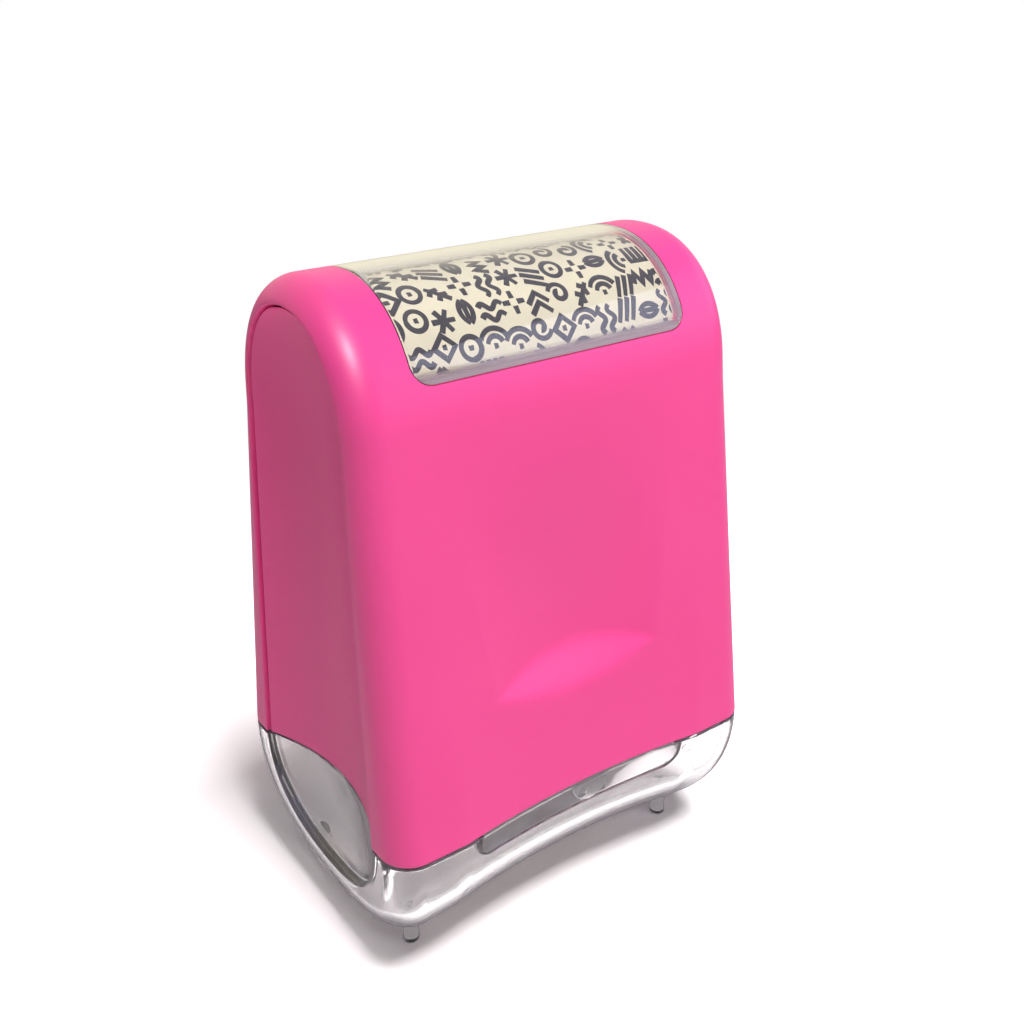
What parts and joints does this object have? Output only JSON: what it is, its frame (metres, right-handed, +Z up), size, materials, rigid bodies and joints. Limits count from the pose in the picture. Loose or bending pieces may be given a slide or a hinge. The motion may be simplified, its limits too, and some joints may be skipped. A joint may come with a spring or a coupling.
{
  "type": "privacy roller stamp",
  "caption": "Hand-held roller stamp with an arched housing, dished grips, a window over a printed card, a refill cartridge with an ink roller, and a clear cap on short feet.",
  "frame": {"origin": "on the floor, under the middle of the stamp", "axes": "+Z up through the arched top, -Y out of the front face, +X to the right as seen from the front"},
  "size_m": [0.043, 0.0316, 0.0656],
  "materials": {
    "pink_plastic": "moulded hot pink plastic, satin gloss",
    "clear_plastic": "clear moulded plastic, polished",
    "printed_card": "cream printed card with dark marks",
    "frame_plastic": "mid grey moulded plastic, fine matt",
    "grey_plastic": "grey moulded plastic, fine matt",
    "steel": "plain zinc-grey steel",
    "felt": "dark ink-soaked felt",
    "print_rubber": "pale soft rubber"
  },
  "bodies": {
    "housing": {"housing_shell": "pink_plastic", "left_side_panel": "pink_plastic", "right_side_panel": "pink_plastic", "window_lens": "clear_plastic", "pattern_card": "printed_card", "cartridge_saddle": "frame_plastic", "saddle_screw_left": "steel", "saddle_screw_right": "steel"},
    "cartridge": {"cartridge_frame": "frame_plastic", "cartridge_end_cheek": "frame_plastic", "cheek_screw_front": "steel", "cheek_screw_rear": "steel", "roller_axle": "steel", "left_thrust_washer": "grey_plastic", "right_thrust_washer": "grey_plastic"},
    "roller": {"roller_core": "grey_plastic", "left_roller_hub": "grey_plastic", "right_roller_hub": "grey_plastic", "ink_felt": "felt", "print_sleeve": "print_rubber", "ink_plug": "frame_plastic"},
    "cap": {"clear_cap": "clear_plastic"}
  },
  "joints": [
    {"name": "cartridge_pull", "type": "slide", "parent": "housing", "child": "cartridge", "axis": [0, 0, -1], "range_m": [0, 0.03]},
    {"name": "cap_pull", "type": "slide", "parent": "cartridge", "child": "cap", "axis": [0, 0, -1], "range_m": [0, 0.02]},
    {"name": "roller_spin", "type": "hinge", "parent": "cartridge", "child": "roller", "pos_m": [0, 0, 0.01948], "axis": [1, 0, 0], "continuous": true}
  ]
}
